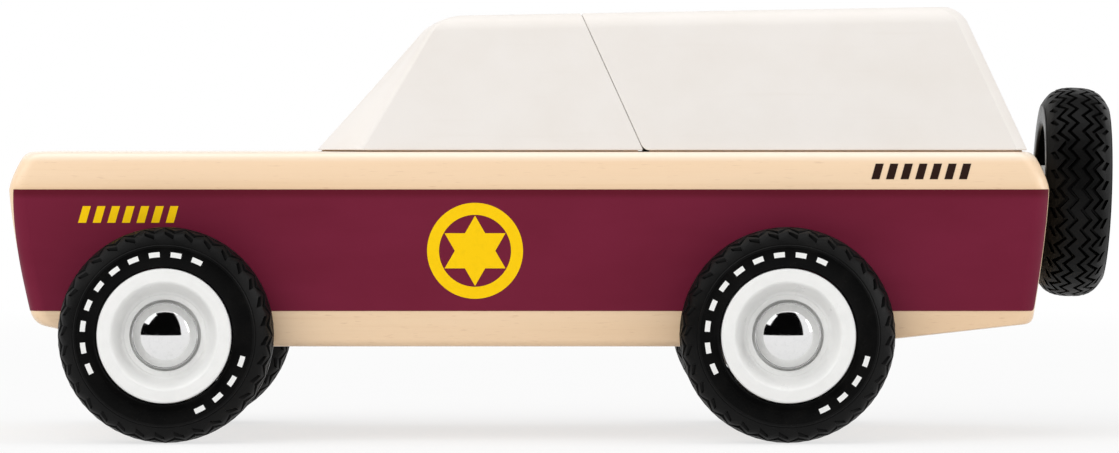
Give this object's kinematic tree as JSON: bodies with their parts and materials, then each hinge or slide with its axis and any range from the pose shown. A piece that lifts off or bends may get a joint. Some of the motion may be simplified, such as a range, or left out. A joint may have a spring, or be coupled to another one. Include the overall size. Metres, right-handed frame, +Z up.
{
  "type": "wooden toy car",
  "caption": "Solid wood toy off-road car with a lift-off hardtop, free-rolling rubber-tyred wheels on axles and a spinning spare wheel on the tail.",
  "frame": {"origin": "on the ground under the tyres, halfway along the overall length and on the middle plane", "axes": "+Z up, +X from nose to tail, +Y to the car's right side"},
  "size_m": [0.187, 0.0792, 0.073],
  "materials": {
    "beech": "pale beech, satin clear lacquer, deep red painted side panels",
    "white_paint": "warm white satin paint on wood",
    "white_plastic": "moulded white plastic",
    "tyre_rubber": "soft black rubber",
    "chrome": "bright plated",
    "steel": "bright zinc",
    "magnet": "nickel plated",
    "nylon": "black nylon"
  },
  "bodies": {
    "body": {"body_block": "beech", "cab_block": "white_paint", "cab_dowel_front": "beech", "cab_dowel_rear": "beech", "deck_magnet_front": "magnet", "deck_magnet_rear": "magnet", "front_axle_carrier": "nylon", "rear_axle_carrier": "nylon", "front_carrier_screw_left": "steel", "front_carrier_screw_right": "steel", "rear_carrier_screw_left": "steel", "rear_carrier_screw_right": "steel", "spare_screw": "steel", "spare_washer": "nylon"},
    "hardtop": {"hardtop_block": "white_paint", "hardtop_magnet_front": "magnet", "hardtop_magnet_rear": "magnet"},
    "front_wheels": {"front_axle": "steel", "front_left_tyre": "tyre_rubber", "front_left_rim": "white_plastic", "front_left_hub_cap": "chrome", "front_right_tyre": "tyre_rubber", "front_right_rim": "white_plastic", "front_right_hub_cap": "chrome"},
    "rear_wheels": {"rear_axle": "steel", "rear_left_tyre": "tyre_rubber", "rear_left_rim": "white_plastic", "rear_left_hub_cap": "chrome", "rear_right_tyre": "tyre_rubber", "rear_right_rim": "white_plastic", "rear_right_hub_cap": "chrome"},
    "spare_wheel": {"spare_tyre": "tyre_rubber", "spare_rim": "white_plastic", "spare_hub_cap": "chrome"}
  },
  "joints": [
    {"name": "hardtop_lift", "type": "slide", "parent": "body", "child": "hardtop", "axis": [0, 0, 1], "range_m": [0, 0.04]},
    {"name": "front_axle_spin", "type": "hinge", "parent": "body", "child": "front_wheels", "pos_m": [-0.06654, 0, 0.018], "axis": [0, 1, 0], "continuous": true},
    {"name": "rear_axle_spin", "type": "hinge", "parent": "body", "child": "rear_wheels", "pos_m": [0.03706, 0, 0.018], "axis": [0, 1, 0], "continuous": true},
    {"name": "spare_spin", "type": "hinge", "parent": "body", "child": "spare_wheel", "pos_m": [0.08734, 0, 0.0415], "axis": [0.9994, 0, -0.0349], "continuous": true}
  ]
}
